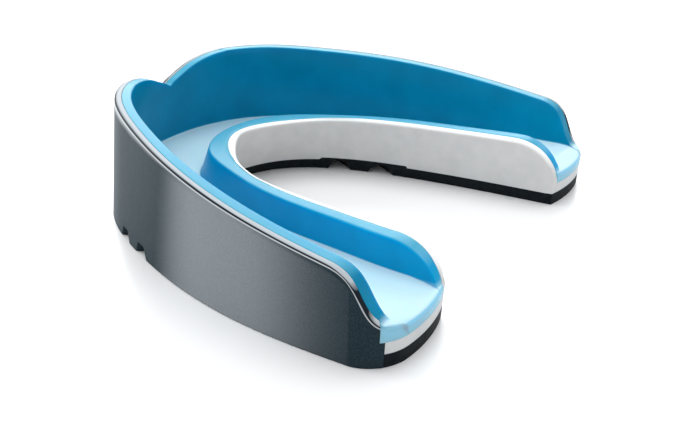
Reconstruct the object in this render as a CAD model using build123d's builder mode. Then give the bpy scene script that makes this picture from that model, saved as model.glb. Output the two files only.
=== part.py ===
"""Boil-and-bite mouthguard: a horseshoe tray in four bonded mouldings.

Millimetres.  +Z is up, X runs left to right with the symmetry plane at X = 0,
the incisors are at -Y and the two heels at +Y.  The part stands on its sole at
Z = 0 with the tooth channel open upwards.
"""
from build123d import *
import math
import os

# ---------------------------------------------------------------- dimensions
TOP_PLANE = 20.0            # the outer wall is ruled from the ground to this height
LINGUAL_TOP = 9.6           # height of the wall on the tongue side
FLOOR_TOP = 5.5             # bite surface of the gel liner
SOLE_THICKNESS = 1.8
SOLE_LAND_RISE = 0.35       # the sole is thicker over its grip grooves
TRAY_TOP = 3.3              # upper face of the frame's tray, under the liner
SHELL_THICKNESS = 0.8
FRAME_WALL = 1.2            # frame on the tongue side

# plan stations of the right half, from the front centre to behind the heel
CENTRE_Y = 3.95             # from the stations' own datum to the part's origin
OUTER_GROUND = [(0, -34.3), (15.6, -29.3), (24.1, -17.6), (29.0, -6.2),
                (32.0, 5.6), (33.1, 19.0), (33.1, 34.0)]
OUTER_TOP = [(0, -31.6), (14.5, -27.3), (23.1, -16.8), (28.5, -6.1),
             (31.9, 5.6), (33.1, 19.0), (33.1, 34.0)]
CHANNEL_SIDE = [(0, -20.4), (9.1, -17.1), (13.6, -9.9), (16.1, -3.4),
                (17.8, 3.1), (19.1, 11.0), (20.2, 18.0), (20.7, 25.0), (21.0, 34.0)]
INNER_GROUND = [(0, -20.6), (9.2, -17.4), (14.0, -10.2), (16.0, -3.4),
                (17.1, 3.1), (17.9, 10.4), (18.4, 18.0), (18.8, 26.0), (19.2, 34.0)]
INNER_TOP = [(0, -16.3), (6.55, -12.85), (10.55, -7.85), (13.1, -2.8),
             (14.6, 2.5), (15.8, 9.6), (16.9, 17.5), (17.6, 26.0), (18.0, 34.0)]

# the channel's tongue side leans at the front: inset of its foot and of its top
SIDE_AT_FLOOR = (-0.9, -0.9, -0.5, -0.1, 0, 0, 0, 0, 0)
SIDE_AT_TOP = (0.9, 0.9, 0.55, 0.15, 0, 0, 0, 0, 0)

# outer wall thickness at the OUTER stations: at the floor and at TOP_PLANE
WALL_AT_FLOOR = (2.4, 2.4, 2.6, 2.9, 3.3, 3.5, 3.5)
WALL_AT_TOP = (2.4, 2.4, 2.35, 2.2, 1.8, 1.1, 0.9)

# outer wall's edge in the side view (y, z): along the arm, then down to the heel
RIM_ARM = [(-36.0, 17.7), (-28.0, 18.0), (-17.0, 17.15), (-6.0, 15.8), (5.6, 14.0), (18.6, 11.8)]
RIM_BEND = (20.9, 10.8)
RIM_FOOT = (24.5, 5.35)
RIM_END_SLOPE = (1.0, -0.7)
HEEL_EDGE = (26.6, 4.8)     # back edge of the bite surface
HEEL_RAMP_Y = 23.2          # the bite surface falls from here to the heel edge

# end of the tongue-side wall in the side view; the frame goes on down to its tray
LINGUAL_BEND = [(19.3, LINGUAL_TOP), (22.9, 8.6), (24.7, 6.9), (25.6, 5.0)]
FRAME_FOOT = (26.0, TRAY_TOP)

# heel end in plan at the ground: a shallow bow, then the rounded outside corner
HEEL_BOW = [(18.0, 25.2), (23.5, 26.25), (28.6, 26.0)]
HEEL_CORNER = (33.2, 21.0)
HEEL_FLARE = 4.0            # degrees, the heel end leans outwards going up

# frenum notch at the front centre: (x, z) from its root up to the rim
NOTCH_SIDE = [(0, 14.3), (2.5, 15.7), (5.0, 16.8), (7.5, 17.5), (10.5, 18.0)]
NOTCH_BACK_Y = -18.0        # the notch is cut from the front as far as here

# grip grooves through the sole, two on each side, square to GROOVE_ANGLE
GROOVE_ANGLE = 33.5         # of the line across the grooves, from +X
GROOVE_OFFSETS = (7.35, 12.45)
GROOVE_MOUTH = 3.0
GROOVE_ROOF = 1.7
GROOVE_DEPTH = 1.65
GROOVE_REACH = (7.0, 34.0)  # along the groove, from the tongue side outwards
LAND_MARGIN = 1.3           # land beyond the groove mouths

SHELL_END = (31.9, 24.45)   # the shell's end faces at the liner, in plan
SHELL_TOE = (31.45, 24.8)   # and beside the frame's tray and the sole
SHELL_END_ANGLE = 42.0      # direction of the end faces, from +X
FAR = 60.0                  # beyond the part, for cutting bodies


# ---------------------------------------------------------------- shapes
def inset(points, distances):
    """Move an arch's stations inwards along the arch's own normals."""
    moved = []
    for index, ((x, y), distance) in enumerate(zip(points, distances)):
        before = points[index - 1] if index else (-points[1][0], points[1][1])
        after = points[index + 1] if index + 1 < len(points) else (x, y)
        along = Vector(after[0] - before[0], after[1] - before[1]).normalized()
        moved.append((x - along.Y * distance, y + along.X * distance))
    return moved


def even(points, distance):
    return inset(points, [distance] * len(points))


def arch_face(points, height):
    """Everything inside an arch, closed by a straight line behind the heels."""
    whole = [(-x, y) for x, y in reversed(points[1:])] + points
    with BuildSketch(Plane.XY.offset(height)) as sketch:
        with BuildLine():
            Spline(*whole)
            Line(whole[-1], whole[0])
        make_face()
    return sketch.sketch


def arch_body(low, high, bottom, top):
    """Solid between one arch at the bottom and another at the top."""
    with BuildPart() as body:
        add(arch_face(low, bottom))
        add(arch_face(high, top))
        loft(ruled=True)
    return body.part


def slab(bottom, top):
    with BuildPart() as body:
        with BuildSketch(Plane.XY.offset(bottom)):
            Rectangle(2 * FAR, 2 * FAR)
        extrude(amount=top - bottom)
    return body.part


def under(outline):
    """Everything below an edge drawn in the side view, across the whole width."""
    with BuildPart() as body:
        with BuildSketch(Plane.YZ):
            with BuildLine():
                end = outline()
                Polyline(end, (FAR, end[1]), (FAR, 0), (-FAR, 0))
            make_face()
        extrude(amount=FAR, both=True)
    return body.part


def rim_edge():
    Polyline((-FAR, 0), (-FAR, RIM_ARM[0][1]), RIM_ARM[0])
    arm = Spline(*RIM_ARM)
    Spline(RIM_ARM[-1], RIM_BEND, RIM_FOOT, tangents=[arm % 1, Vector(*RIM_END_SLOPE)])
    Line(RIM_FOOT, HEEL_EDGE)
    return HEEL_EDGE


def lingual_edge(foot=HEEL_EDGE):
    Polyline((-FAR, 0), (-FAR, LINGUAL_TOP), LINGUAL_BEND[0])
    Spline(*LINGUAL_BEND, tangents=[(1, 0), (0.2, -1)])
    Line(LINGUAL_BEND[-1], foot)
    return foot


def frame_edge():
    return lingual_edge(FRAME_FOOT)


def floor_edge():
    Polyline((-FAR, 0), (-FAR, FLOOR_TOP), (HEEL_RAMP_Y, FLOOR_TOP), HEEL_EDGE)
    return HEEL_EDGE


def across_grooves(side, section, height):
    """Prism along the grooves of one side; section is (low, high) at the ground, then at height."""
    angle = math.radians(GROOVE_ANGLE)
    across = Vector(side * math.cos(angle), math.sin(angle))
    along = Vector(side * math.sin(angle), -math.cos(angle))
    (low, high), (roof_low, roof_high) = section
    with BuildPart() as body:
        with BuildSketch(Plane(origin=along * GROOVE_REACH[0], x_dir=across, z_dir=along)) as face:
            up = height * round(face.workplanes[0].y_dir.Z)
            with BuildLine():
                Polyline((low, 0), (high, 0), (roof_high, up), (roof_low, up), close=True)
            make_face()
        extrude(amount=GROOVE_REACH[1] - GROOVE_REACH[0])
    return body.part


def groove(side, offset):
    mouth = (offset - GROOVE_MOUTH / 2, offset + GROOVE_MOUTH / 2)
    roof = (offset - GROOVE_ROOF / 2, offset + GROOVE_ROOF / 2)
    return across_grooves(side, (mouth, roof), GROOVE_DEPTH)


def land(side):
    band = (GROOVE_OFFSETS[0] - GROOVE_MOUTH / 2 - LAND_MARGIN,
            GROOVE_OFFSETS[-1] + GROOVE_MOUTH / 2 + LAND_MARGIN)
    return across_grooves(side, (band, band), SOLE_THICKNESS + SOLE_LAND_RISE)


def heel_limit(distance):
    """Everything in front of the heel ends, moved in from them by a distance."""
    with BuildPart() as body:
        with BuildSketch():
            with BuildLine():
                bow = ThreePointArc(*HEEL_BOW)
                TangentArc(bow @ 1, HEEL_CORNER, tangent=bow % 1)
                Polyline(HEEL_CORNER, (FAR, HEEL_CORNER[1]), (FAR, -FAR), (0, -FAR),
                         (0, HEEL_BOW[0][1]), HEEL_BOW[0])
            make_face()
            mirror(about=Plane.YZ)
            if distance:
                offset(amount=-distance)
        extrude(amount=TOP_PLANE, taper=-HEEL_FLARE)
    return body.part


def in_front_of(end, bottom, top):
    """The space the shell may fill between two heights, cut off at its end faces."""
    x, y = end
    reach = FAR * math.cos(math.radians(SHELL_END_ANGLE))
    rise = FAR * math.sin(math.radians(SHELL_END_ANGLE))
    with BuildPart() as body:
        with BuildSketch(Plane.XY.offset(bottom)):
            Polygon((0, 0), (x, y), (x + reach, y + rise), (FAR + x, -FAR),
                    (-FAR - x, -FAR), (-x - reach, y + rise), (-x, y), align=None)
        extrude(amount=top - bottom)
    return body.part


# ---------------------------------------------------------------- shared bodies
outer_body = arch_body(OUTER_GROUND, OUTER_TOP, 0, TOP_PLANE)
shell_inside = arch_body(even(OUTER_GROUND, SHELL_THICKNESS),
                         even(OUTER_TOP, SHELL_THICKNESS), 0, TOP_PLANE)
channel_outside = arch_body(inset(OUTER_GROUND, WALL_AT_FLOOR),
                            inset(OUTER_TOP, WALL_AT_TOP), FLOOR_TOP - 1, TOP_PLANE)
channel_side = arch_body(inset(CHANNEL_SIDE, SIDE_AT_FLOOR), inset(CHANNEL_SIDE, SIDE_AT_TOP),
                         FLOOR_TOP - 1, LINGUAL_TOP)
frame_face = arch_body(even(INNER_GROUND, -FRAME_WALL), even(INNER_TOP, -FRAME_WALL), 0, LINGUAL_TOP)
tongue_space = arch_body(INNER_GROUND, INNER_TOP, 0, LINGUAL_TOP)

with BuildPart() as envelope:
    add(outer_body)
    add(heel_limit(0), mode=Mode.INTERSECT)
    add(under(rim_edge), mode=Mode.INTERSECT)
    with BuildSketch(Plane.XZ.offset(FAR)):
        with BuildLine():
            outer_x = NOTCH_SIDE[-1][0]
            Spline(*NOTCH_SIDE, tangents=[(1, 1), (1, 0.1)])
            Spline(*[(-x, z) for x, z in NOTCH_SIDE], tangents=[(-1, 1), (-1, 0.1)])
            Polyline(NOTCH_SIDE[-1], (outer_x, FAR), (-outer_x, FAR), (-outer_x, NOTCH_SIDE[-1][1]))
        make_face()
    extrude(amount=-(FAR + NOTCH_BACK_Y), mode=Mode.SUBTRACT)

with BuildPart() as shell_zone:
    add(in_front_of(SHELL_TOE, 0, TRAY_TOP))
    add(in_front_of(SHELL_END, TRAY_TOP, TOP_PLANE))

grooves = [groove(side, offset) for side in (-1, 1) for offset in GROOVE_OFFSETS]
lands = [land(side) for side in (-1, 1)]


# ---------------------------------------------------------------- mouldings
with BuildPart() as outer_shell:
    add(envelope.part)
    add(shell_inside & heel_limit(SHELL_THICKNESS), mode=Mode.SUBTRACT)
    add(shell_zone.part, mode=Mode.INTERSECT)
    add(grooves, mode=Mode.SUBTRACT)

with BuildPart() as core:                   # everything inside and behind the shell
    add(envelope.part)
    add(outer_shell.part, mode=Mode.SUBTRACT)
    add(grooves, mode=Mode.SUBTRACT)

with BuildPart() as base_pad:
    add(slab(0, SOLE_THICKNESS))
    add(lands)
    add(core.part, mode=Mode.INTERSECT)
    add(tongue_space, mode=Mode.SUBTRACT)

with BuildPart() as shock_frame:
    add(frame_face)
    add(under(frame_edge), mode=Mode.INTERSECT)
    add(slab(SOLE_THICKNESS, TRAY_TOP))
    add(core.part, mode=Mode.INTERSECT)
    add(tongue_space, mode=Mode.SUBTRACT)
    add(base_pad.part, mode=Mode.SUBTRACT)

with BuildPart() as tongue_side_wall:
    add(channel_side)
    add(under(lingual_edge), mode=Mode.INTERSECT)

with BuildPart() as open_space:
    add(channel_outside)
    add(tongue_side_wall.part, mode=Mode.SUBTRACT)
    add(under(floor_edge), mode=Mode.SUBTRACT)

with BuildPart() as gel_liner:
    add(core.part)
    add(slab(0, TRAY_TOP), mode=Mode.SUBTRACT)
    add(open_space.part, mode=Mode.SUBTRACT)
    add(tongue_space, mode=Mode.SUBTRACT)
    add(shock_frame.part, mode=Mode.SUBTRACT)

os.makedirs("parts", exist_ok=True)
for name, piece in (("outer_shell", outer_shell), ("base_pad", base_pad),
                    ("shock_frame", shock_frame), ("gel_liner", gel_liner)):
    placed = piece.part.moved(Location((0, CENTRE_Y, 0)))
    placed.label = name
    export_step(placed, f"parts/{name}.step")
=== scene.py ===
"""Boil-and-bite mouthguard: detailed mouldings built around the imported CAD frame.

Lengths are millimetres in the CAD's own stations and become metres at the end.
"""
import math

import bmesh
import bpy
import numpy as np
from mathutils import Matrix, Vector


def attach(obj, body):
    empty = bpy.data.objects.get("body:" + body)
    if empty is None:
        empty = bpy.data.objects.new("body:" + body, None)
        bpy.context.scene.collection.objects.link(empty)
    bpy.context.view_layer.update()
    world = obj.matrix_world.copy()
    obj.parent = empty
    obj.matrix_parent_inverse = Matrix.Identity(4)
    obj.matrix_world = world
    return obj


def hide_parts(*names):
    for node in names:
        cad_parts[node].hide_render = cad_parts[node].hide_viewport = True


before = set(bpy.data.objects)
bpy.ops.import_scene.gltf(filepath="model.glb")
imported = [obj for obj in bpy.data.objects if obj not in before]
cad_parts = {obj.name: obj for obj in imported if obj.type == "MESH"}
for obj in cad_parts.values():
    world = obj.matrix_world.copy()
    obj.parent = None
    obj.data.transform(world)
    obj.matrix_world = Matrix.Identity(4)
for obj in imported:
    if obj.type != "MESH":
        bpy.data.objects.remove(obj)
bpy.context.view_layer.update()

MM = 0.001

# ------------------------------------------------------------ the CAD's dimensions
TOP_PLANE = 20.0
LINGUAL_TOP = 9.6
FLOOR_TOP = 5.5
SOLE_THICKNESS = 1.8
SOLE_LAND_RISE = 0.35
TRAY_TOP = 3.3
SHELL_THICKNESS = 0.8
FRAME_WALL = 1.2
CENTRE_Y = 3.95
OUTER_GROUND = [(0, -34.3), (15.6, -29.3), (24.1, -17.6), (29.0, -6.2),
                (32.0, 5.6), (33.1, 19.0), (33.1, 34.0)]
OUTER_TOP = [(0, -31.6), (14.5, -27.3), (23.1, -16.8), (28.5, -6.1),
             (31.9, 5.6), (33.1, 19.0), (33.1, 34.0)]
CHANNEL_SIDE = [(0, -20.4), (9.1, -17.1), (13.6, -9.9), (16.1, -3.4),
                (17.8, 3.1), (19.1, 11.0), (20.2, 18.0), (20.7, 25.0), (21.0, 34.0)]
INNER_GROUND = [(0, -20.6), (9.2, -17.4), (14.0, -10.2), (16.0, -3.4),
                (17.1, 3.1), (17.9, 10.4), (18.4, 18.0), (18.8, 26.0), (19.2, 34.0)]
INNER_TOP = [(0, -16.3), (6.55, -12.85), (10.55, -7.85), (13.1, -2.8),
             (14.6, 2.5), (15.8, 9.6), (16.9, 17.5), (17.6, 26.0), (18.0, 34.0)]
SIDE_AT_FLOOR = (-0.9, -0.9, -0.5, -0.1, 0, 0, 0, 0, 0)
SIDE_AT_TOP = (0.9, 0.9, 0.55, 0.15, 0, 0, 0, 0, 0)
WALL_AT_FLOOR = (2.4, 2.4, 2.6, 2.9, 3.3, 3.5, 3.5)
WALL_AT_TOP = (2.4, 2.4, 2.35, 2.2, 1.8, 1.1, 0.9)
RIM_ARM = [(-36.0, 17.7), (-28.0, 18.0), (-17.0, 17.15), (-6.0, 15.8), (5.6, 14.0), (18.6, 11.8)]
RIM_BEND = (20.9, 10.8)
RIM_FOOT = (24.5, 5.35)
RIM_END_SLOPE = (1.0, -0.7)
HEEL_EDGE = (26.6, 4.8)
HEEL_RAMP_Y = 23.2
LINGUAL_BEND = [(19.3, LINGUAL_TOP), (22.9, 8.6), (24.7, 6.9), (25.6, 5.0)]
FRAME_FOOT = (26.0, TRAY_TOP)
HEEL_BOW = [(18.0, 25.2), (23.5, 26.25), (28.6, 26.0)]
HEEL_CORNER = (33.2, 21.0)
HEEL_FLARE = 4.0
NOTCH_SIDE = [(0, 14.3), (2.5, 15.7), (5.0, 16.8), (7.5, 17.5), (10.5, 18.0)]
NOTCH_BACK_Y = -18.0
GROOVE_ANGLE = 33.5
GROOVE_OFFSETS = (7.35, 12.45)
GROOVE_MOUTH = 3.0
GROOVE_ROOF = 1.7
GROOVE_DEPTH = 1.65
LAND_MARGIN = 1.3
SHELL_END = (31.9, 24.45)
SHELL_TOE = (31.45, 24.8)
SHELL_END_ANGLE = 42.0

# ------------------------------------------------------------ how finely it is built
MAIN_ROWS, HEEL_ROWS, COLUMNS = 400, 160, 60    # cells of the plan's lookup grid
SEAM_Y = 19.5               # across the arms here, the heel patch begins
CORNER_SPLIT = 76.0         # degrees round the outside corner where its patch turns
ARCH_CENTRE = (0.0, 5.0)    # every arch is a single-valued radius about this point
ROUND = np.radians([0, 18, 36, 54, 72, 90])
LIP_RADIUS = 0.45           # of the gel's edge round the heel
SEAM_GAP = 0.004            # between the two rows where a piece steps out to the outline
LEAN_TO = (0.085, 0.4)      # v across which rows follow the end planes, then ease off
NO_NOTCH = 99.0             # a height above everything
NOTCH_BLEND = 0.35          # how widely the notch runs into the rim
RAMP_BLEND = 1.0            # half the length over which the floor starts to fall
RAMP_START_DROP = 0.2
LAND_EDGE = 0.12            # length of the step up to the sole's land
LINER_FOOT = TRAY_TOP + 0.5     # the gel's rounded edge stays above this
FRAME_RADIUS = 0.8          # largest rounding on the tongue side
FRAME_BEVEL = 0.1           # on its edge against the gel
SOLE_RADIUS = 0.12
SHELL_FOOT = 0.12           # bevel round the bottom of the shell
CORNER_REACH = 2.0          # cells this near the heel's outside corner are evened out
CORNER_PASSES = 12
WELD = 3e-7                 # metres
SIDE_HIGHLIGHT_ANGLE = math.radians(12)      # direction of the shell's painted highlight band, from straight sideways towards the front


# ------------------------------------------------------------ curves in plan
def cubic(points, start=None, end=None, count=1201):
    """Cubic through points on a chord-length parameter, natural or with end tangents."""
    p = np.array(points, float)
    h = np.linalg.norm(np.diff(p, axis=0), axis=1)
    slope = np.diff(p, axis=0) / h[:, None]
    n = len(p)
    a, b = np.zeros((n, n)), np.zeros(p.shape)
    for i in range(1, n - 1):
        a[i, i - 1:i + 2] = h[i], 2 * (h[i - 1] + h[i]), h[i - 1]
        b[i] = 3 * (h[i] * slope[i - 1] + h[i - 1] * slope[i])
    for i, j, k, tangent in ((0, 1, 0, start), (n - 1, n - 2, n - 2, end)):
        if tangent is None:
            a[i, i], a[i, j] = 2, 1
            b[i] = 3 * slope[k]
        else:
            a[i, i] = 1
            b[i] = np.array(tangent) / np.linalg.norm(tangent)
    m = np.linalg.solve(a, b)
    t = np.concatenate([[0], np.cumsum(h)])
    u = np.linspace(0, t[-1], count)
    i = np.clip(np.searchsorted(t, u, side="right") - 1, 0, n - 2)
    s, step = ((u - t[i]) / h[i])[:, None], h[i][:, None]
    return ((2 * s**3 - 3 * s**2 + 1) * p[i] + (s**3 - 2 * s**2 + s) * step * m[i]
            + (3 * s**2 - 2 * s**3) * p[i + 1] + (s**3 - s**2) * step * m[i + 1])


def arch(points):
    """Right half of a mirrored arch, from the front centre backwards."""
    whole = [(-x, y) for x, y in reversed(points[1:])] + list(points)
    dense = cubic(whole, count=4001)
    return dense[2000:]


def inset(points, distances):
    """The CAD's offset: stations move along the arch's normals."""
    moved = []
    for index, ((x, y), distance) in enumerate(zip(points, distances)):
        before = points[index - 1] if index else (-points[1][0], points[1][1])
        after = points[index + 1] if index + 1 < len(points) else (x, y)
        along = Vector((after[0] - before[0], after[1] - before[1])).normalized()
        moved.append((x - along.y * distance, y + along.x * distance))
    return moved


def travelled(curve):
    return np.concatenate([[0], np.cumsum(np.linalg.norm(np.diff(curve, axis=0), axis=1))])


def resample(curve, fractions):
    d = travelled(curve)
    return np.stack([np.interp(fractions * d[-1], d, curve[:, k]) for k in (0, 1)], -1)


def x_at(curve, y):
    return np.interp(y, curve[:, 1], curve[:, 0])


def angle_of(v):
    return math.atan2(v[1], v[0])


def arc(centre, radius, start, stop, count=241):
    t = np.linspace(start, stop, count)
    return np.stack([centre[0] + radius * np.cos(t), centre[1] + radius * np.sin(t)], -1)


def heel_curve(lift):
    """(outside corner arc, bow to the tongue side) in plan, moved back by lift."""
    a, b, c = (np.array(p) for p in HEEL_BOW)
    centre = np.linalg.solve(2 * np.array([b - a, c - a]), np.array([b @ b - a @ a, c @ c - a @ a]))
    radius = np.linalg.norm(a - centre)
    tangent = np.array([c[1] - centre[1], centre[0] - c[0]]) / radius
    normal = np.array([tangent[1], -tangent[0]])
    gap = c - np.array(HEEL_CORNER)
    corner_radius = -(gap @ gap) / (2 * normal @ gap)
    corner = c + normal * corner_radius
    shift = np.array([0, lift])
    turn = arc(corner, corner_radius, angle_of(np.array(HEEL_CORNER) - corner), angle_of(c - corner))
    bow = arc(centre, radius, angle_of(c - centre), angle_of(a - centre))
    return turn + shift, bow + shift


def plan_grid(outer, inner, lift):
    """Lookup grid of plan points: rows along the arm, columns from outside to tongue side."""
    v = np.linspace(0, 1, COLUMNS + 1)
    f = np.linspace(0, 1, MAIN_ROWS + 1)
    sides = []
    for curve in (outer, inner):
        front = curve[curve[:, 1] < SEAM_Y]
        sides.append(resample(np.vstack([front, [x_at(curve, SEAM_Y), SEAM_Y]]), f))
    main = sides[0][:, None] * (1 - v)[None, :, None] + sides[1][:, None] * v[None, :, None]

    turn, bow = heel_curve(lift)
    turn[:, 0] = np.minimum(turn[:, 0], x_at(outer, turn[:, 1]))
    split = np.argmax(np.arange(len(turn)) >= len(turn) * CORNER_SPLIT / 90)
    straight = outer[(outer[:, 1] > SEAM_Y) & (outer[:, 1] < turn[0, 1])]
    outside = np.vstack([sides[0][-1:], straight, turn[:split + 1]])
    inside_bow = bow[:, 0] > x_at(inner, bow[:, 1])
    end = np.vstack([turn[split:], bow[1:][inside_bow[1:]]])
    tongue = inner[(inner[:, 1] > SEAM_Y) & (inner[:, 1] < end[-1, 1])]
    tongue = np.vstack([sides[1][-1:], tongue, end[-1:]])
    a = np.linspace(0, 1, HEEL_ROWS + 1)
    d0, d1 = resample(outside, a), resample(tongue, a)
    c0, c1 = main[-1], resample(end, v)
    av, vv = a[:, None, None], v[None, :, None]
    heel = ((1 - av) * c0[None] + av * c1[None] + (1 - vv) * d0[:, None] + vv * d1[:, None]
            - ((1 - av) * (1 - vv) * c0[0] + (1 - av) * vv * c0[-1]
               + av * (1 - vv) * c1[0] + av * vv * c1[-1]))
    return np.concatenate([main, heel[1:]])


stretch = TOP_PLANE / LINGUAL_TOP
inner_high = [(g[0] + (t[0] - g[0]) * stretch, g[1] + (t[1] - g[1]) * stretch)
              for g, t in zip(INNER_GROUND, INNER_TOP)]
LOW = plan_grid(arch(OUTER_GROUND), arch(INNER_GROUND), 0)
HIGH = plan_grid(arch(OUTER_TOP), arch(inner_high), TOP_PLANE * math.tan(math.radians(HEEL_FLARE)))


def place(s, v, z):
    """Point at s along the arm (1 at the seam, 2 at the heel end), v across, z up."""
    s, v, z = np.broadcast_arrays(np.asarray(s, float), v, z)
    row = np.where(s <= 1, s * MAIN_ROWS, MAIN_ROWS + (s - 1) * HEEL_ROWS)
    col = v * COLUMNS
    i = np.clip(row.astype(int), 0, LOW.shape[0] - 2)
    j = np.clip(np.floor(col).astype(int), 0, COLUMNS - 1)
    a, b = (row - i)[..., None], (col - j)[..., None]
    low, high = (((1 - a) * (1 - b) * g[i, j] + a * (1 - b) * g[i + 1, j]
                  + (1 - a) * b * g[i, j + 1] + a * b * g[i + 1, j + 1]) for g in (LOW, HIGH))
    k = (z / TOP_PLANE)[..., None]
    return np.concatenate([(1 - k) * low + k * high, z[..., None]], -1)


# ------------------------------------------------------------ heights
arm = cubic(RIM_ARM)
bend = cubic([RIM_ARM[-1], RIM_BEND, RIM_FOOT], start=arm[-1] - arm[-2], end=RIM_END_SLOPE)
rim_curve = np.vstack([arm, bend[1:], [HEEL_EDGE]])
lingual = cubic(LINGUAL_BEND, start=(1, 0), end=(0.2, -1))
lingual_front = (-60, LINGUAL_TOP)          # level from in front of the arch to the bend
lingual_curve = np.vstack([[lingual_front], lingual, [HEEL_EDGE]])
frame_curve = np.vstack([[lingual_front], lingual, [FRAME_FOOT]])
notch_curve = cubic(NOTCH_SIDE, start=(1, 1), end=(1, 0.1))


def soft_min(a, b, blend):
    t = np.clip(0.5 + 0.5 * (b - a) / blend, 0, 1)
    return b + (a - b) * t - blend * t * (1 - t)


def floor_z(x, y):
    return np.interp(y, [HEEL_RAMP_Y - RAMP_BLEND, HEEL_RAMP_Y + RAMP_BLEND, HEEL_EDGE[0]],
                     [FLOOR_TOP, FLOOR_TOP - RAMP_START_DROP, HEEL_EDGE[1]])


def rim_z(x, y):
    plain = np.interp(y, rim_curve[:, 0], rim_curve[:, 1])
    aside = np.sqrt(x**2 + 0.04)            # |x|, rounded at the middle
    notch = np.interp(aside, notch_curve[:, 0], notch_curve[:, 1], right=NO_NOTCH)
    notch = np.where(y < NOTCH_BACK_Y, notch, NO_NOTCH)
    return soft_min(plain, notch, NOTCH_BLEND)


def lingual_z(x, y):
    return np.interp(y, lingual_curve[:, 0], lingual_curve[:, 1])


def frame_z(x, y):
    return np.interp(y, frame_curve[:, 0], frame_curve[:, 1])


ACROSS = np.array([math.cos(math.radians(GROOVE_ANGLE)), math.sin(math.radians(GROOVE_ANGLE))])


def groove_z(x, y):
    """Underside of the sole and shell: raised over the grip grooves."""
    n = np.abs(x) * ACROSS[0] + y * ACROSS[1]
    slope = (GROOVE_MOUTH - GROOVE_ROOF) / 2
    rise = np.zeros_like(n)
    for offset in GROOVE_OFFSETS:
        rise = np.maximum(rise, np.clip((GROOVE_MOUTH / 2 - np.abs(n - offset)) / slope, 0, 1))
    return rise * GROOVE_DEPTH


LAND = (GROOVE_OFFSETS[0] - GROOVE_MOUTH / 2 - LAND_MARGIN,
        GROOVE_OFFSETS[-1] + GROOVE_MOUTH / 2 + LAND_MARGIN)


def sole_z(x, y):
    """Top of the sole, thicker over the grooves."""
    n = np.abs(x) * ACROSS[0] + y * ACROSS[1]
    inside = np.clip((n - LAND[0]) / LAND_EDGE, 0, 1) * np.clip((LAND[1] - n) / LAND_EDGE, 0, 1)
    return SOLE_THICKNESS + SOLE_LAND_RISE * inside


# ------------------------------------------------------------ lines across the arm
END_ALONG = (math.cos(math.radians(SHELL_END_ANGLE)), math.sin(math.radians(SHELL_END_ANGLE)))


def crossing(end, z):
    """s on the outside where a shell end plane, through a point in plan, cuts it."""
    s = np.linspace(1, 2, 1601)
    p = place(s, 0.0, z)
    d = END_ALONG
    beyond = d[0] * (p[:, 1] - end[1]) - d[1] * (p[:, 0] - end[0])
    return s[np.argmax(beyond > 0)]


SHELL_STOP = crossing(SHELL_END, 4.4)
TOE_STOP = crossing(SHELL_TOE, 2.4)


def leaned(s0, v):
    """s of a heel row that keeps to the shell's end direction near the outside."""
    if s0 < SHELL_STOP:
        weight = math.sin(math.pi * np.clip((s0 - 1) / (2 * (SHELL_STOP - 1)), 0, 1))
    elif s0 < TOE_STOP:
        weight = 1
    else:
        weight = math.cos(math.pi / 2 * (s0 - TOE_STOP) / (2 - TOE_STOP))
    s = np.linspace(0.9, 2, 600)
    normal = np.array((-END_ALONG[1], END_ALONG[0]))
    start = place(s0, 0.0, 4.0)[:2] @ normal
    reach = np.minimum(v, LEAN_TO[0])
    lean = np.array([np.interp(start, place(s, r, 4.0)[:, :2] @ normal, s) for r in reach]) - s0
    ease = np.clip((LEAN_TO[1] - v) / (LEAN_TO[1] - LEAN_TO[0]), 0, 1)
    return s0 + weight * lean * ease**2 * (3 - 2 * ease)


def line_field():
    """s of every line for each lookup column, lined up with the grooves where they run."""
    v = np.linspace(0, 1, COLUMNS + 1)
    s_main = np.linspace(0, 1, MAIN_ROWS + 1)
    n = LOW[:MAIN_ROWS + 1, :, 0] * ACROSS[0] + LOW[:MAIN_ROWS + 1, :, 1] * ACROSS[1]

    def on(value):
        return np.array([np.interp(value, n[:, k], s_main) for k in range(COLUMNS + 1)])

    first, last = LAND[0] - 1.0, LAND[1] + 1.0
    half, roof = GROOVE_MOUTH / 2, GROOVE_ROOF / 2
    edges = [first, LAND[0], LAND[0] + LAND_EDGE]
    for offset in GROOVE_OFFSETS:
        edges += [offset - half, offset - roof, offset + roof, offset + half]
    edges += [LAND[1] - LAND_EDGE, LAND[1], last]
    stations = []
    for a, b in zip(edges, edges[1:]):
        steps = max(1, int(math.ceil((b - a) / 0.45)))
        spread = list(a + (b - a) * np.arange(steps) / steps)
        if steps > 1:                        # short cells beside each edge keep it crisp
            spread.insert(1, a + 0.06)
            spread.append(b - 0.06)
        stations += spread
    stations.append(last)
    rows = [t * on(first) for t in np.linspace(0, 1, 52)[:-1] ** 1.12]
    rows += [on(value) for value in stations]
    rows += [on(last) + t * (1 - on(last)) for t in np.linspace(0, 1, 64)[1:]]
    depth = np.linalg.norm(place(2.0, 0.6, 4.0)[:2] - place(1.0, 0.6, 4.0)[:2])
    heel = list(1 + np.linspace(0, 1, 34)[1:-1] * (1 - LIP_RADIUS / depth))
    heel += [2 - LIP_RADIUS * (1 - math.cos(t)) / depth for t in ROUND[::-1]]
    for stop in (SHELL_STOP, TOE_STOP):
        heel += [stop - SEAM_GAP / 2, stop + SEAM_GAP / 2]
    rows += [leaned(s, v) for s in sorted(heel)]
    return np.array(rows)


LINES = line_field()
COUNT = len(LINES)


def line_s(v):
    """s of each line at v, which has one row per line."""
    col = np.clip(v, 0, 1) * COLUMNS
    j = np.clip(col.astype(int), 0, COLUMNS - 1)
    b = col - j
    line = np.arange(COUNT)[:, None] if v.ndim == 2 else np.arange(COUNT)
    return LINES[line, j] * (1 - b) + LINES[line, j + 1] * b


def spot(v, z):
    """Points at v and z on every line."""
    return place(line_s(v), v, z)


EDGE_S = LINES[:, 0]        # s of each line where it starts, on the outside


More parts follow.
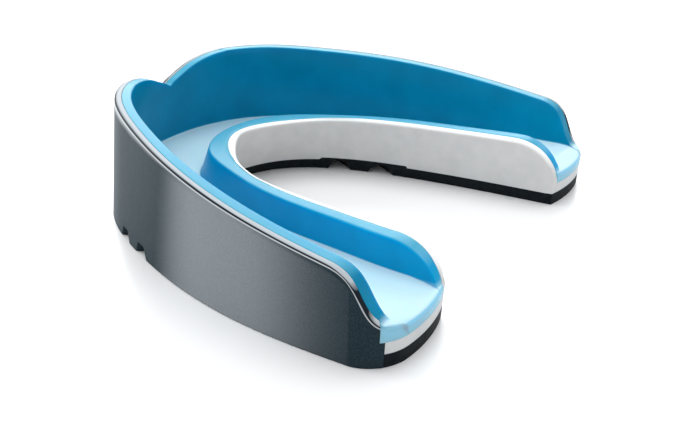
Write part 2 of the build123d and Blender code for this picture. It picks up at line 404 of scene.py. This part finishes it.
def unit_near(v):
    """v for one millimetre square to the arm, on every line."""
    p, q = (spot(np.full(COUNT, w), np.full(COUNT, 6.0))[:, :2] for w in (v, v + 0.01))
    t = np.gradient(p, axis=0)
    t[0] = (1, 0)
    t /= np.linalg.norm(t, axis=1)[:, None]
    d = q - p
    square = np.abs(d[:, 0] * t[:, 1] - d[:, 1] * t[:, 0])
    return 0.01 / np.maximum(square, 0.45 * np.linalg.norm(d, axis=1))


UNIT, UNIT_IN = unit_near(0.03), unit_near(0.9)


def rim_of_plan(z):
    """The outline in plan at z: the outer side, then the heel end."""
    outer, end = place(np.linspace(0, 2, 1401), 0.0, z), place(2.0, np.linspace(0, 1, 301), z)
    return np.vstack([outer, end])[:, :2]


def distance_in(points, z):
    """Distance in plan from points to the outline at z."""
    outline = rim_of_plan(z)
    flat = points[..., :2].reshape(-1, 2)
    nearest = [np.sqrt(((part[:, None] - outline[None])**2).sum(-1).min(1))
               for part in np.array_split(flat, max(1, len(flat) // 800))]
    return np.concatenate(nearest).reshape(points.shape[:-1])


def skin_v(z):
    """v of the shell's inner face on every line."""
    v = np.linspace(0, 0.3, 61)
    grid = np.tile(v, (COUNT, 1))
    depth = distance_in(spot(grid, np.full_like(grid, z)), z)
    k = np.clip(np.argmax(depth > SHELL_THICKNESS, axis=1), 1, len(v) - 1)
    r = np.arange(COUNT)
    near, far = depth[r, k - 1], depth[r, k]
    part = np.clip((SHELL_THICKNESS - near) / np.maximum(far - near, 1e-6), 0, 1)
    return v[k - 1] + (v[k] - v[k - 1]) * part


def arch_v(stations, z):
    """v where each line crosses an arch, at height z."""
    curve = arch(stations) - ARCH_CENTRE
    theta, radius = np.arctan2(curve[:, 1], curve[:, 0]), np.hypot(curve[:, 0], curve[:, 1])
    v = np.linspace(0, 1.3, 157)
    grid = np.tile(v, (COUNT, 1))
    p = spot(grid, np.full_like(grid, z))[..., :2] - ARCH_CENTRE
    f = np.hypot(p[..., 0], p[..., 1]) - np.interp(np.arctan2(p[..., 1], p[..., 0]), theta, radius)
    k = np.clip(np.argmax(f < 0, axis=1), 1, len(v) - 1)
    r = np.arange(COUNT)
    f0, f1 = f[r, k - 1], f[r, k]
    return v[k - 1] + (v[k] - v[k - 1]) * np.clip(f0 / np.where(f0 == f1, 1, f0 - f1), 0, 1)


def between(low, high, z_low, z_high):
    """v as a function of height, straight between two levels."""
    def at(z):
        return low + (high - low) * (z - z_low) / (z_high - z_low)
    return at


def even(points, distance):
    """Inset by the same distance all along."""
    return inset(points, [distance] * len(points))


wall_v = between(arch_v(inset(OUTER_GROUND, WALL_AT_FLOOR), FLOOR_TOP - 1),
                 arch_v(inset(OUTER_TOP, WALL_AT_TOP), TOP_PLANE), FLOOR_TOP - 1, TOP_PLANE)
side_v = between(arch_v(inset(CHANNEL_SIDE, SIDE_AT_FLOOR), FLOOR_TOP - 1),
                 arch_v(inset(CHANNEL_SIDE, SIDE_AT_TOP), LINGUAL_TOP), FLOOR_TOP - 1, LINGUAL_TOP)
face_v = between(arch_v(even(INNER_GROUND, -FRAME_WALL), 0.0),
                 arch_v(even(INNER_TOP, -FRAME_WALL), LINGUAL_TOP), 0.0, LINGUAL_TOP)
skin_line = between(skin_v(0.0), skin_v(15.0), 0.0, 15.0)


def outside_v(z, stop):
    """v of a piece's outer side: behind the shell up to its end, then flush with it."""
    return np.where(EDGE_S < stop, skin_line(z), 0.0)


def settle(v, height, drop):
    """z on a surface whose height depends on the plan point, less a drop."""
    z = np.full(np.shape(v), 8.0)
    for _ in range(4):
        p = spot(v, z)
        z = height(p[..., 0], p[..., 1]) - drop
    return z


def edge_drop(distance, radius):
    """How far a rounded edge has fallen at a distance in from it."""
    d = np.clip(radius - distance, 0, radius)
    return radius - np.sqrt(radius**2 - d**2)


# ------------------------------------------------------------ meshes
def moulding(name, top, bottom, levels, node, slot_name, material,
             sharp=38.0, softened=99.0, backing=None):
    """Closed solid from chains over and under the right half, mirrored to the left.

    Edges turning by more than sharp degrees stay crisp. Above the height softened, the cells at
    the heel's outside corner are evened out. backing is 0 or 1 for each point of a top chain.
    """
    down = np.arange(1, levels)[:, None] / levels
    tongue = top[:, -1:] + (bottom[:, -1:] - top[:, -1:]) * down
    outside = bottom[:, :1] + (top[:, :1] - bottom[:, :1]) * down
    ring = np.concatenate([top, tongue, bottom[:, ::-1], outside], axis=1)
    ring[0, :, 0] = 0
    whole = np.concatenate([ring[:0:-1] * (-1, 1, 1), ring])
    rows, count = whole.shape[:2]
    faces = [(i * count + k, (i + 1) * count + k,
              (i + 1) * count + (k + 1) % count, i * count + (k + 1) % count)
             for i in range(rows - 1) for k in range(count)]
    points = list(whole.reshape(-1, 3))
    n = top.shape[1]
    end = np.stack([top[-1] + (bottom[-1] - top[-1]) * j / levels for j in range(levels + 1)])
    for side in (-1, 1):
        base = len(points)
        points += list((end * (side, 1, 1)).reshape(-1, 3))
        faces += [(base + j * n + k, base + j * n + k + 1,
                   base + (j + 1) * n + k + 1, base + (j + 1) * n + k)
                  for j in range(levels) for k in range(n - 1)]
    mesh = bpy.data.meshes.new(name)
    mesh.from_pydata(((np.array(points) + (0, CENTRE_Y, 0)) * MM).tolist(), [], faces)
    if backing is not None:                 # sides and ends lie half way
        tone = np.full(count, 0.5)
        tone[:n] = backing
        ends = np.full(len(points) - rows * count, 0.5)
        layer = mesh.attributes.new("backing", "FLOAT", "POINT")
        layer.data.foreach_set("value", np.concatenate([np.tile(tone, rows), ends]))
    work = bmesh.new()
    work.from_mesh(mesh)
    bmesh.ops.remove_doubles(work, verts=work.verts, dist=WELD)
    corner = place(2.0, 0.0, 4.5) + (0, CENTRE_Y, 0)
    near = [v for v in work.verts if v.co.z > softened * MM
            and math.hypot(abs(v.co.x) / MM - corner[0], v.co.y / MM - corner[1]) < CORNER_REACH]
    for _ in range(CORNER_PASSES):
        bmesh.ops.smooth_vert(work, verts=near, factor=0.5,
                              use_axis_x=True, use_axis_y=True, use_axis_z=True)
    bmesh.ops.dissolve_degenerate(work, edges=work.edges, dist=1e-7)
    bmesh.ops.recalc_face_normals(work, faces=work.faces)
    work.to_mesh(mesh)
    work.free()
    mesh.shade_smooth()
    mesh.set_sharp_from_angle(angle=math.radians(sharp))
    mesh.materials.append(material)
    piece = bpy.data.objects.new(name, mesh)
    bpy.context.collection.objects.link(piece)
    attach(piece, "root")
    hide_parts(node)
    return piece


def column(value):
    """One value for every line."""
    return np.broadcast_to(np.asarray(value, float), (COUNT,))


# ------------------------------------------------------------ gel liner
def liner_chains():
    """Top and underside of the gel, and how many points lead to the foot of its outer wall."""
    covered = EDGE_S < SHELL_STOP
    start = np.where(covered, skin_line(10.0), 0.0)
    r_out = np.where(covered, 0.12, LIP_RADIUS)
    probe = spot(column(wall_v(8.0)), column(8.0))
    rim_here = rim_z(probe[:, 0], probe[:, 1])
    floor_here = floor_z(probe[:, 0], probe[:, 1])
    tall = np.maximum(rim_here - floor_here, 0.02)
    r_in = np.minimum(0.22, 0.45 * tall)
    r_foot = np.minimum(0.4, 0.45 * tall)
    side = spot(column(side_v(8.0)), column(8.0))
    ling_here = lingual_z(side[:, 0], side[:, 1])
    side_floor = floor_z(side[:, 0], side[:, 1])
    ling_tall = np.maximum(ling_here - side_floor, 0.02)
    r_ling = np.minimum(0.28, 0.45 * ling_tall)
    r_toe = np.minimum(0.3, 0.45 * ling_tall)

    v, z = [], []

    def put(vv, zz):
        v.append(column(vv))
        z.append(column(zz))

    for t in ROUND[::-1]:                                   # outside edge of the rim
        vv = start + UNIT * r_out * (1 - np.sin(t))
        put(vv, settle(vv, rim_z, r_out * (1 - np.cos(t)) * covered))
    low, high = start + UNIT * r_out, wall_v(rim_here) - UNIT * r_in
    for t in np.linspace(0, 1, 17)[1:-1]:                   # rim
        vv = low + (high - low) * t
        put(vv, settle(vv, rim_z, 0.0))
    for t in ROUND:                                         # inner edge of the rim
        zz = rim_here - r_in * (1 - np.cos(t))
        vv = wall_v(zz) - UNIT * r_in * (1 - np.sin(t))
        put(vv, settle(vv, rim_z, r_in * (1 - np.cos(t))))
    for t in np.linspace(0, 1, 14)[1:-1]:                   # channel's outer wall
        zz = (rim_here - r_in) * (1 - t) + (floor_here + r_foot) * t
        put(wall_v(zz), zz)
    for t in ROUND:                                         # fillet onto the bite surface
        zz = floor_here + r_foot * (1 - np.sin(t))
        vv = wall_v(zz) + UNIT * r_foot * (1 - np.cos(t))
        put(vv, zz)
    wall_columns = len(v) - 3
    low, high = wall_v(floor_here) + UNIT * r_foot, side_v(side_floor) - UNIT_IN * r_toe
    for t in np.linspace(0, 1, 26)[1:-1]:                   # bite surface
        vv = low + (high - low) * t
        put(vv, settle(vv, floor_z, 0.0))
    for t in ROUND[::-1]:                                   # fillet up the tongue-side wall
        zz = side_floor + r_toe * (1 - np.sin(t))
        put(side_v(zz) - UNIT_IN * r_toe * (1 - np.cos(t)), zz)
    for t in np.linspace(0, 1, 7)[1:-1]:                    # channel's tongue side
        zz = (side_floor + r_toe) * (1 - t) + (ling_here - r_ling) * t
        put(side_v(zz), zz)
    for t in ROUND[::-1]:                                   # its rounded top
        zz = ling_here - r_ling * (1 - np.cos(t))
        vv = side_v(zz) + UNIT_IN * r_ling * (1 - np.sin(t))
        put(vv, settle(vv, lingual_z, r_ling * (1 - np.cos(t))))
    r_face = 0.12
    low, high = side_v(ling_here) + UNIT_IN * r_ling, face_v(ling_here) - UNIT_IN * r_face
    for t in np.linspace(0, 1, 5)[1:-1]:
        vv = low + (high - low) * t
        put(vv, settle(vv, lingual_z, 0.0))
    for t in ROUND[::3]:                                    # edge against the frame
        vv = face_v(ling_here) - UNIT_IN * r_face * (1 - np.sin(t))
        put(vv, settle(vv, lingual_z, r_face * (1 - np.cos(t))))
    v, z = np.stack(v, 1), np.stack(z, 1)
    edge_far = 9.0                                          # no rounded lip where the shell covers it
    lip = np.where(covered[:, None], edge_far, distance_in(spot(v, np.full_like(v, 5.0)), 5.0))
    z = np.maximum(z - edge_drop(lip, LIP_RADIUS), LINER_FOOT)
    under_v = np.maximum.accumulate(np.minimum(v, face_v(TRAY_TOP)[:, None]), axis=1)
    under_v = under_v + (face_v(TRAY_TOP) - under_v[:, -1])[:, None] * (v > 0.5)
    shift = np.where(covered, skin_line(TRAY_TOP), 0.0) - start
    under_v = under_v + shift[:, None] * np.clip(1 - (v - start[:, None]) / 0.2, 0, 1)
    return spot(v, z), spot(under_v, np.full_like(under_v, TRAY_TOP)), wall_columns


# ------------------------------------------------------------ shock frame
def frame_chains():
    start = outside_v(2.5, TOE_STOP)
    face = spot(column(face_v(7.0)), column(7.0))
    top_here = np.maximum(frame_z(face[:, 0], face[:, 1]), TRAY_TOP + 0.2)
    tall = top_here - TRAY_TOP
    v, z = [], []
    for t in np.linspace(0, 1, 26)[:-1]:                    # tray
        v.append(start + (face_v(TRAY_TOP) - start) * t)
        z.append(column(TRAY_TOP))
    for t in np.linspace(0, 1, 6):                          # wall against the liner
        zz = TRAY_TOP + (tall - FRAME_BEVEL) * t
        v.append(face_v(zz))
        z.append(zz)
    r = np.minimum(FRAME_RADIUS, 0.5 * tall)
    for t in np.linspace(0, 1, 4)[:-1]:                     # its top
        vv = face_v(top_here) + UNIT_IN * FRAME_BEVEL + (
            1 - UNIT_IN * (r + FRAME_BEVEL) - face_v(top_here)) * t
        v.append(vv)
        z.append(settle(vv, frame_z, 0.0))
    for t in np.radians(np.linspace(0, 90, 9)):             # rounded edge on the tongue side
        vv = 1 - UNIT_IN * r * (1 - np.sin(t))
        v.append(vv)
        z.append(settle(vv, frame_z, r * (1 - np.cos(t))))
    v, z = np.stack([column(a) for a in v], 1), np.stack([column(a) for a in z], 1)
    z = np.maximum(z, TRAY_TOP)
    under_v = np.maximum.accumulate(v, axis=1)
    return spot(v, z), spot(under_v, settle(under_v, sole_z, 0.0))


# ------------------------------------------------------------ sole
def sole_chains():
    start = outside_v(1.0, TOE_STOP)
    r = SOLE_RADIUS
    v, drop = [], []
    for t in ROUND[::-1]:
        v.append(start + UNIT * r * (1 - np.sin(t)))
        drop.append(column(r * (1 - np.cos(t))))
    low, high = start + UNIT * r, 1 - UNIT_IN * r
    for t in np.linspace(0, 1, 40)[1:-1]:
        v.append(low + (high - low) * t)
        drop.append(column(0))
    for t in ROUND:
        v.append(1 - UNIT_IN * r * (1 - np.sin(t)))
        drop.append(column(r * (1 - np.cos(t))))
    v, drop = np.stack(v, 1), np.stack(drop, 1)
    return spot(v, settle(v, sole_z, 0.0)), spot(v, settle(v, groove_z, -drop))


# ------------------------------------------------------------ outer shell
def shell_chains():
    keep = EDGE_S < TOE_STOP        # lines the shell covers
    full = EDGE_S < SHELL_STOP      # those where it stands above the tray
    skin = skin_line(10.0)
    r_out, r_in = 0.42 * full + 0.03, 0.03 * full + 0.02
    v, drop = [], []
    for t in ROUND[::-1]:
        v.append(UNIT * r_out * (1 - np.sin(t)))
        drop.append(r_out * (1 - np.cos(t)))
    v.append((UNIT * r_out + skin - UNIT * r_in) / 2)
    drop.append(column(0))
    for t in ROUND[[0, 2, 5]]:
        v.append(skin - UNIT * r_in * (1 - np.sin(t)))
        drop.append(r_in * (1 - np.cos(t)))
    v, drop = np.stack([column(a) for a in v], 1), np.stack([column(a) for a in drop], 1)
    z = settle(v, rim_z, drop)
    z = np.where(full[:, None], z, TRAY_TOP)
    bottom_v = v * (skin_line(0.0) / skin)[:, None]
    base = settle(bottom_v, groove_z, 0.0)
    base[:, 0] += SHELL_FOOT
    bottom_v[:, 1] = SHELL_FOOT * UNIT
    return spot(v, z)[keep], spot(bottom_v, base)[keep]


# ------------------------------------------------------------ materials
def shader(name, colour, roughness, **inputs):
    material = bpy.data.materials.new(name)
    material.use_nodes = True
    surface = material.node_tree.nodes["Principled BSDF"]
    surface.inputs["Base Color"].default_value = (*colour, 1)
    surface.inputs["Roughness"].default_value = roughness
    for key, value in inputs.items():
        surface.inputs[key.replace("_", " ")].default_value = value
    return material, surface


def noise(material, scale, detail=4.0):
    nodes, links = material.node_tree.nodes, material.node_tree.links
    where = nodes.new("ShaderNodeTexCoord")
    texture = nodes.new("ShaderNodeTexNoise")
    texture.inputs["Scale"].default_value = scale
    texture.inputs["Detail"].default_value = detail
    links.new(where.outputs["Object"], texture.inputs["Vector"])
    return texture.outputs["Fac"]


def two_tone(material, source, low, high):
    """Colour socket running between two colours with a texture."""
    nodes, links = material.node_tree.nodes, material.node_tree.links
    ramp = nodes.new("ShaderNodeValToRGB")
    ramp.color_ramp.elements[0].position, ramp.color_ramp.elements[1].position = 0.35, 0.65
    ramp.color_ramp.elements[0].color, ramp.color_ramp.elements[1].color = (*low, 1), (*high, 1)
    links.new(source, ramp.inputs["Fac"])
    return ramp.outputs["Color"]


def mapped(material, source, from_range, to_range, smooth=False):
    nodes, links = material.node_tree.nodes, material.node_tree.links
    scale = nodes.new("ShaderNodeMapRange")
    scale.interpolation_type = "SMOOTHSTEP" if smooth else "LINEAR"
    scale.inputs["From Min"].default_value, scale.inputs["From Max"].default_value = from_range
    scale.inputs["To Min"].default_value, scale.inputs["To Max"].default_value = to_range
    links.new(source, scale.inputs["Value"])
    return scale.outputs["Result"]


def mixed(material, factor, a, b):
    nodes, links = material.node_tree.nodes, material.node_tree.links
    mix = nodes.new("ShaderNodeMix")
    mix.data_type = "RGBA"
    links.new(factor, mix.inputs["Factor"])
    colours = [socket for socket in mix.inputs if socket.type == "RGBA"]
    for value, socket in zip((a, b), colours):
        if isinstance(value, tuple):
            socket.default_value = (*value, 1)
        else:
            links.new(value, socket)
    return next(socket for socket in mix.outputs if socket.type == "RGBA")


def component(material, output, axis):
    """One component of the surface's own normal or position."""
    nodes, links = material.node_tree.nodes, material.node_tree.links
    geometry, parts = nodes.new("ShaderNodeNewGeometry"), nodes.new("ShaderNodeSeparateXYZ")
    links.new(geometry.outputs[output], parts.inputs["Vector"])
    return parts.outputs[axis]


def put(material, source, surface, name):
    material.node_tree.links.new(source, surface.inputs[name])


def uneven_gloss(material, surface, scale, low, high):
    put(material, mapped(material, noise(material, scale), (0, 1), (low, high)), surface, "Roughness")


def grain(material, surface, source, strength, depth):
    nodes, links = material.node_tree.nodes, material.node_tree.links
    bump = nodes.new("ShaderNodeBump")
    bump.inputs["Strength"].default_value = strength
    bump.inputs["Distance"].default_value = depth
    links.new(source, bump.inputs["Height"])
    links.new(bump.outputs["Normal"], surface.inputs["Normal"])


def flat_above(material, start, end):
    """How far the surface lies flat, facing the sky."""
    return mapped(material, component(material, "Normal", "Z"), (start, end), (0, 1), smooth=True)


def painted_side_highlight(material):
    """Painted highlight: 1 where the shell's wall faces the direction of its painted bright band, on either
    side.
    """
    nodes, links = material.node_tree.nodes, material.node_tree.links
    size = nodes.new("ShaderNodeMath")
    size.operation = "ABSOLUTE"
    links.new(component(material, "Normal", "X"), size.inputs[0])
    both = nodes.new("ShaderNodeCombineXYZ")
    links.new(size.outputs[0], both.inputs["X"])
    links.new(component(material, "Normal", "Y"), both.inputs["Y"])
    dot = nodes.new("ShaderNodeVectorMath")
    dot.operation = "DOT_PRODUCT"
    dot.inputs[1].default_value = (math.cos(SIDE_HIGHLIGHT_ANGLE), -math.sin(SIDE_HIGHLIGHT_ANGLE), 0)
    links.new(both.outputs["Vector"], dot.inputs[0])
    return mapped(material, dot.outputs["Value"], (0.978, 0.9995), (0, 1), smooth=True)


def painted_rim_lights(material, body):
    """Wall colour, then a painted highlight line and a painted dark reflection line round the rounded edge;
    the rim's flat top is painted pale as an overhead sheen, its slope to the heel a plainer mid grey.
    """
    nodes, links = material.node_tree.nodes, material.node_tree.links
    up, back = component(material, "Normal", "Z"), component(material, "Normal", "Y")
    slope = nodes.new("ShaderNodeMath")                 # the rim's run down to the heel
    slope.operation = "MULTIPLY"
    links.new(mapped(material, back, (0.0, 0.3), (0, 1)), slope.inputs[0])
    links.new(mapped(material, up, (0.25, 0.5), (0, 0.36)), slope.inputs[1])
    total = nodes.new("ShaderNodeMath")
    links.new(up, total.inputs[0])
    links.new(slope.outputs[0], total.inputs[1])
    ramp = nodes.new("ShaderNodeValToRGB")
    stops = [(0.0, (0.05, 0.06, 0.065)), (0.16, (0.5, 0.53, 0.55)), (0.38, (0.5, 0.53, 0.55)),
             (0.5, (0.008, 0.014, 0.02)), (0.8, (0.008, 0.014, 0.02)), (0.9, (0.22, 0.24, 0.25)),
             (1.0, (0.46, 0.5, 0.53))]
    while len(ramp.color_ramp.elements) < len(stops):
        ramp.color_ramp.elements.new(0.5)
    for element, (position, colour) in zip(ramp.color_ramp.elements, stops):
        element.position, element.color = position, (*colour, 1)
    links.new(total.outputs[0], ramp.inputs["Fac"])
    return mixed(material, mapped(material, up, (0.08, 0.2), (0, 1)), body, ramp.outputs["Color"])


shell_material, surface = shader("grey shell with painted highlights", (0.03, 0.05, 0.062), 0.5, Specular_IOR_Level=0.05)
flake = noise(shell_material, 5200, 2)
# painted highlight: where the wall faces that direction, its dark grey gives way to a much lighter grey, as a
# lit band
body = mixed(shell_material, painted_side_highlight(shell_material),
             two_tone(shell_material, flake, (0.012, 0.025, 0.033), (0.022, 0.038, 0.047)),
             two_tone(shell_material, flake, (0.19, 0.212, 0.228), (0.22, 0.243, 0.258)))
# painted highlight, painted dark reflection and painted sheen on the shell's rim edge and top
put(shell_material, painted_rim_lights(shell_material, body), surface, "Base Color")
uneven_gloss(shell_material, surface, 900, 0.44, 0.54)
grain(shell_material, surface, noise(shell_material, 2600), 0.1, 0.00004)

gel_material, surface = shader("clear blue gel", (0.004, 0.24, 0.52), 0.24, Specular_IOR_Level=0.1,
                               Subsurface_Weight=0.3, Subsurface_Scale=0.003)
surface.inputs["Subsurface Radius"].default_value = (0.02, 0.5, 1.0)
body = two_tone(gel_material, noise(gel_material, 180), (0.0, 0.3, 0.57), (0.0, 0.35, 0.65))
backing = gel_material.node_tree.nodes.new("ShaderNodeAttribute")
backing.attribute_name = "backing"          # 0 over the dark shell, 1 over the floor and the white frame
body = mixed(gel_material, backing.outputs["Fac"],
             two_tone(gel_material, noise(gel_material, 180), (0.0, 0.205, 0.36), (0.0, 0.24, 0.42)), body)
thin_lip = mapped(gel_material, component(gel_material, "Position", "Z"), (0.0056, 0.005), (0, 0.45))
body = mixed(gel_material, thin_lip, body, (0.58, 0.89, 1.0))
# painted sheen: faces turned up are painted pale in place of the overhead light's reflection, palest low down
# on the bite surface and less so on the rim top
height = mapped(gel_material, component(gel_material, "Position", "Z"), (0.006, 0.009), (0, 1))
painted_overhead_sheen = mixed(gel_material, height, (0.56, 0.8, 0.9), (0.075, 0.37, 0.54))
body = mixed(gel_material, flat_above(gel_material, 0.6, 0.99), body, painted_overhead_sheen)
put(gel_material, body, surface, "Base Color")
uneven_gloss(gel_material, surface, 600, 0.2, 0.3)
grain(gel_material, surface, noise(gel_material, 700), 0.05, 0.00004)

frame_material, surface = shader("satin white frame", (0.7, 0.7, 0.7), 0.4, Subsurface_Weight=0.1,
                                 Subsurface_Scale=0.002, Specular_IOR_Level=0.3)
body = two_tone(frame_material, noise(frame_material, 400), (0.60, 0.605, 0.60), (0.65, 0.65, 0.645))
# painted light: faces turned up are painted near white and the sides a duller grey, as lit tops and shaded
# sides
body = mixed(frame_material, flat_above(frame_material, 0.15, 0.8), body, (0.93, 0.93, 0.92))
put(frame_material, body, surface, "Base Color")
uneven_gloss(frame_material, surface, 1500, 0.34, 0.46)
grain(frame_material, surface, noise(frame_material, 2200), 0.1, 0.00004)

sole_material, surface = shader("black rubber sole", (0.008, 0.011, 0.013), 0.5, Specular_IOR_Level=0.05)
body = two_tone(sole_material, noise(sole_material, 1200), (0.005, 0.008, 0.010), (0.010, 0.013, 0.016))
put(sole_material, body, surface, "Base Color")
uneven_gloss(sole_material, surface, 900, 0.42, 0.58)
grain(sole_material, surface, noise(sole_material, 3200), 0.2, 0.00006)

moulding("shell_skin", *shell_chains(), 18, "outer_shell", "shell", shell_material)
moulding("sole_rubber", *sole_chains(), 4, "base_pad", "sole", sole_material)
moulding("frame_wall", *frame_chains(), 8, "shock_frame", "frame", frame_material)
liner_top, liner_bottom, wall_columns = liner_chains()
moulding("gel_channel", liner_top, liner_bottom, 6, "gel_liner", "gel", gel_material, sharp=55.0, softened=3.7,
         backing=(np.arange(liner_top.shape[1]) >= wall_columns).astype(float))


# ------------------------------------------------------------ floor, light, camera
floor_material, surface = shader("white table", (0.9, 0.9, 0.9), 0.35, Specular_IOR_Level=0.4)
uneven_gloss(floor_material, surface, 60, 0.25, 0.32)
bpy.ops.mesh.primitive_plane_add(size=3)
table = bpy.context.object
table.name = "table"
table.data.materials.append(floor_material)


def softbox(name, place_mm, aim_mm, size_mm, energy, colour=(1, 1, 1)):
    lamp = bpy.data.lights.new(name, "AREA")
    lamp.shape = "RECTANGLE"
    lamp.size, lamp.size_y = (side * MM for side in size_mm)
    lamp.energy, lamp.color = energy, colour
    light = bpy.data.objects.new(name, lamp)
    light.location = Vector(place_mm) * MM
    light.rotation_euler = (Vector(place_mm) - Vector(aim_mm)).to_track_quat("Z", "Y").to_euler()
    bpy.context.collection.objects.link(light)


softbox("overhead", (-40, 0, 420), (0, 0, 0), (420, 420), 0.9)
softbox("behind", (-420, -260, 260), (0, 0, 0), (520, 300), 1.6)
softbox("front left", (60, -330, 90), (20, -10, 8), (220, 160), 1.0)

world = bpy.data.worlds.new("studio")
world.use_nodes = True
world.node_tree.nodes["Background"].inputs["Color"].default_value = (0.95, 0.97, 1, 1)
world.node_tree.nodes["Background"].inputs["Strength"].default_value = 0.8
bpy.context.scene.world = world

azimuth, pitch = math.radians(121.103), math.radians(25.206)      # the fitted camera
back = Vector((math.sin(azimuth) * math.cos(pitch), -math.cos(azimuth) * math.cos(pitch), math.sin(pitch)))
right = Vector((math.cos(azimuth), math.sin(azimuth), 0))
camera = bpy.data.objects.new("camera", bpy.data.cameras.new("camera"))
camera.data.lens, camera.data.sensor_width, camera.data.clip_start = 50, 36, 0.001
placing = Matrix((right, back.cross(right), back)).transposed().to_4x4()
placing.translation = Vector((106.8, 64.69 + CENTRE_Y, 58.08)) * MM
camera.matrix_world = placing
bpy.context.collection.objects.link(camera)
scene = bpy.context.scene
scene.camera = camera
scene.view_settings.view_transform = "Standard"
